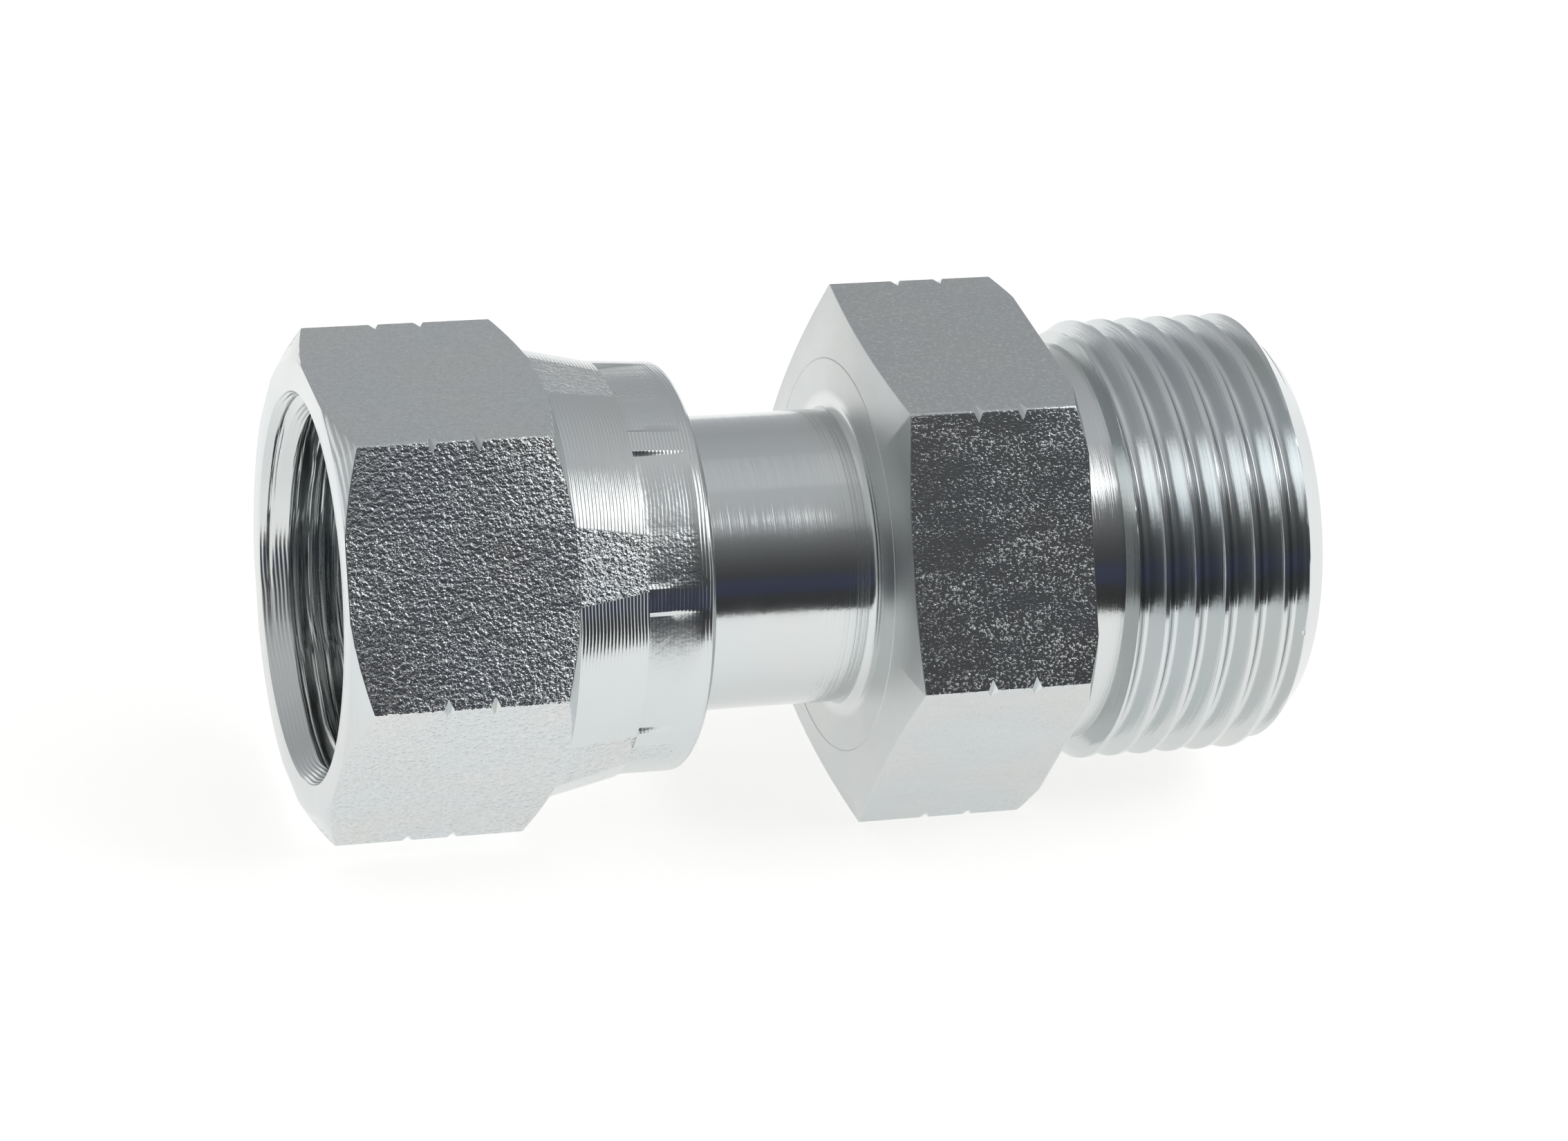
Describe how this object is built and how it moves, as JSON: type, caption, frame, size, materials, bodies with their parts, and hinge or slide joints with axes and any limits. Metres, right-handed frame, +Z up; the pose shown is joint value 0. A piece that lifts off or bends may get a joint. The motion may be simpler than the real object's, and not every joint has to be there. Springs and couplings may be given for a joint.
{
  "type": "face seal fitting",
  "caption": "Straight zinc plated steel face seal fitting: crimped swivel nut, plain stub, body hexagon and male thread with an O-ring in its end face.",
  "frame": {"origin": "centre of the male sealing face, where the through bore opens", "axes": "+X along the fitting's axis out of the male end, +Z up with one flat of the body hexagon resting downward"},
  "size_m": [0.0676, 0.0366, 0.0318],
  "materials": {
    "body_zinc": "bright zinc plate over turned steel",
    "nut_zinc": "bright zinc plate over drawn bar and turned steel",
    "seal_rubber": "moulded nitrile rubber"
  },
  "bodies": {
    "body": {"body": "body_zinc", "o_ring": "seal_rubber"},
    "nut": {"swivel_nut": "nut_zinc"}
  },
  "joints": [
    {"name": "nut_swivel", "type": "hinge", "parent": "body", "child": "nut", "pos_m": [-0.0519, 0, 0], "axis": [1, 0, 0], "continuous": true}
  ]
}
